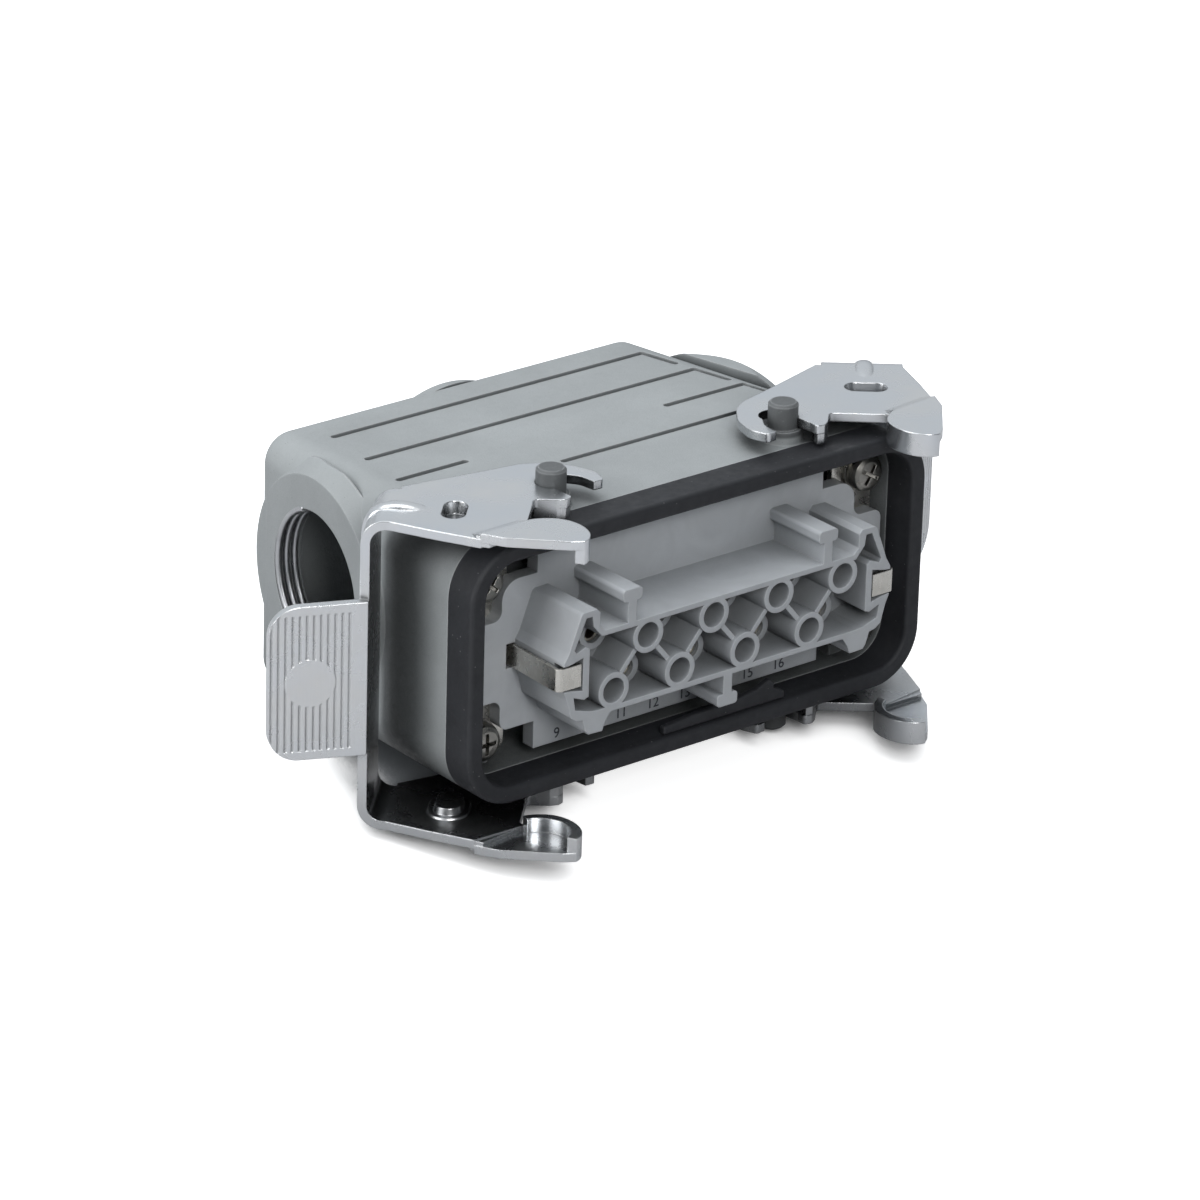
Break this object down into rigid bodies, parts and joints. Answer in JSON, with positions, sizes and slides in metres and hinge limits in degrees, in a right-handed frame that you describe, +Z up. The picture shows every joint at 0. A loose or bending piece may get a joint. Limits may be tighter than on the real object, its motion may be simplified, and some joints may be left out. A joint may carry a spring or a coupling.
{
  "type": "heavy duty rectangular connector hood",
  "caption": "Side entry metal cable hood of a heavy duty rectangular connector with a screw terminal socket insert, a rubber rim seal and swinging side locking levers.",
  "frame": {"origin": "centre of the seal's front plane, where the mating housing meets", "axes": "+X along the long side, to the right seen from the opening; the opening looks along -Y and the hood's back is at +Y; +Z up, square to a long side, as it lies"},
  "size_m": [0.1403, 0.0758, 0.0566],
  "materials": {
    "cast_paint": "light grey semi-matt powder coat on a fine cast surface",
    "rubber_black": "matt black seal rubber",
    "insert_grey": "light grey glass filled moulding, satin",
    "contact_metal": "brass with a pale plating",
    "zinc_sheet": "bright zinc plated rolled sheet",
    "earth_metal": "plated stamped steel",
    "screw_metal": "zinc plated, worn bright"
  },
  "bodies": {
    "hood": {"hood_shell": "cast_paint", "rim_seal": "rubber_black", "insert_body": "insert_grey", "contact_01": "contact_metal", "contact_02": "contact_metal", "contact_03": "contact_metal", "contact_04": "contact_metal", "contact_05": "contact_metal", "contact_06": "contact_metal", "contact_07": "contact_metal", "contact_08": "contact_metal", "contact_09": "contact_metal", "contact_10": "contact_metal", "contact_11": "contact_metal", "contact_12": "contact_metal", "contact_13": "contact_metal", "contact_14": "contact_metal", "contact_15": "contact_metal", "contact_16": "contact_metal", "clamp_screws": "screw_metal", "earth_plate_left": "earth_metal", "earth_plate_right": "earth_metal", "earth_clamp_left": "contact_metal", "earth_clamp_right": "contact_metal", "earth_screws": "screw_metal", "fixing_screws": "screw_metal", "spring_washers": "screw_metal"},
    "lever_left": {"lever_left": "zinc_sheet"},
    "lever_right": {"lever_right": "zinc_sheet"}
  },
  "joints": [
    {"name": "left_lever_pivot", "type": "hinge", "parent": "hood", "child": "lever_left", "pos_m": [-0.0236, 0.0097, 0], "axis": [0, 0, 1], "range_deg": [-1, 45]},
    {"name": "right_lever_pivot", "type": "hinge", "parent": "hood", "child": "lever_right", "pos_m": [0.0236, 0.0097, 0], "axis": [0, 0, 1], "range_deg": [-51, 4]}
  ]
}
